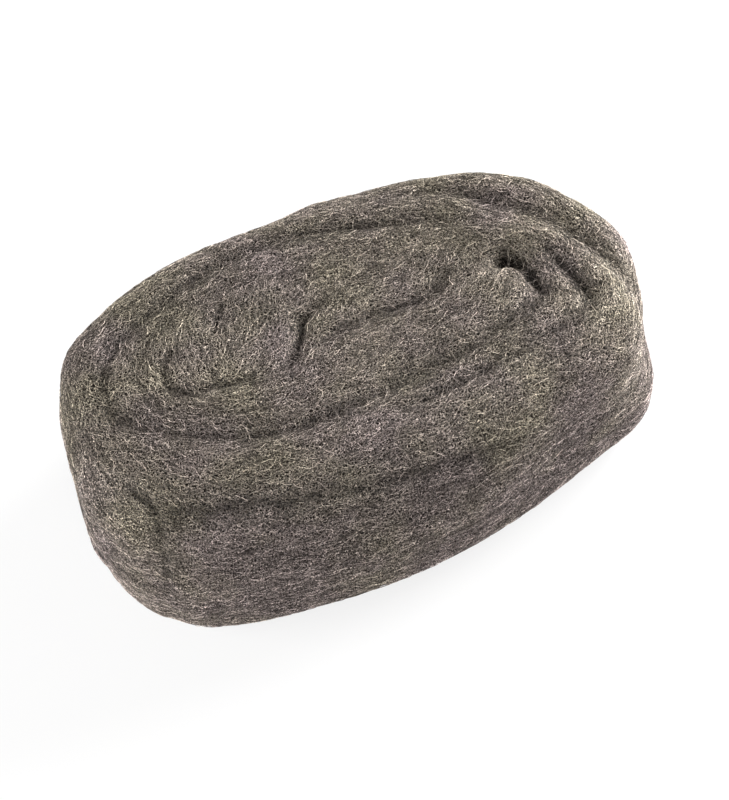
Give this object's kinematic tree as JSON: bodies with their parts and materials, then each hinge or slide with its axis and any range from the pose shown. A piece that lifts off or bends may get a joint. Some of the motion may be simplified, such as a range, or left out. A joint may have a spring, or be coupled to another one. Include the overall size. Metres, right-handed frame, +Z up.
{
  "type": "steel wool roll",
  "caption": "Soft oval roll of steel wool ribbon, wound flat and standing on its end, with rounded shoulders and spiral turns; torn off for rubbing down",
  "frame": {"origin": "centre of the footprint, on the surface that the roll stands on", "axes": "+X along the oval's long way, towards the end where the last turn tucks in; +Y across it, towards the far side in the picture; +Z up, along the ribbon's width"},
  "size_m": [0.1866, 0.1174, 0.0676],
  "materials": {
    "steel_wool": "dull grey steel fibres, matted and wavy, with fine bright strands"
  },
  "bodies": {
    "root": {"roll": "steel_wool"}
  },
  "joints": []
}
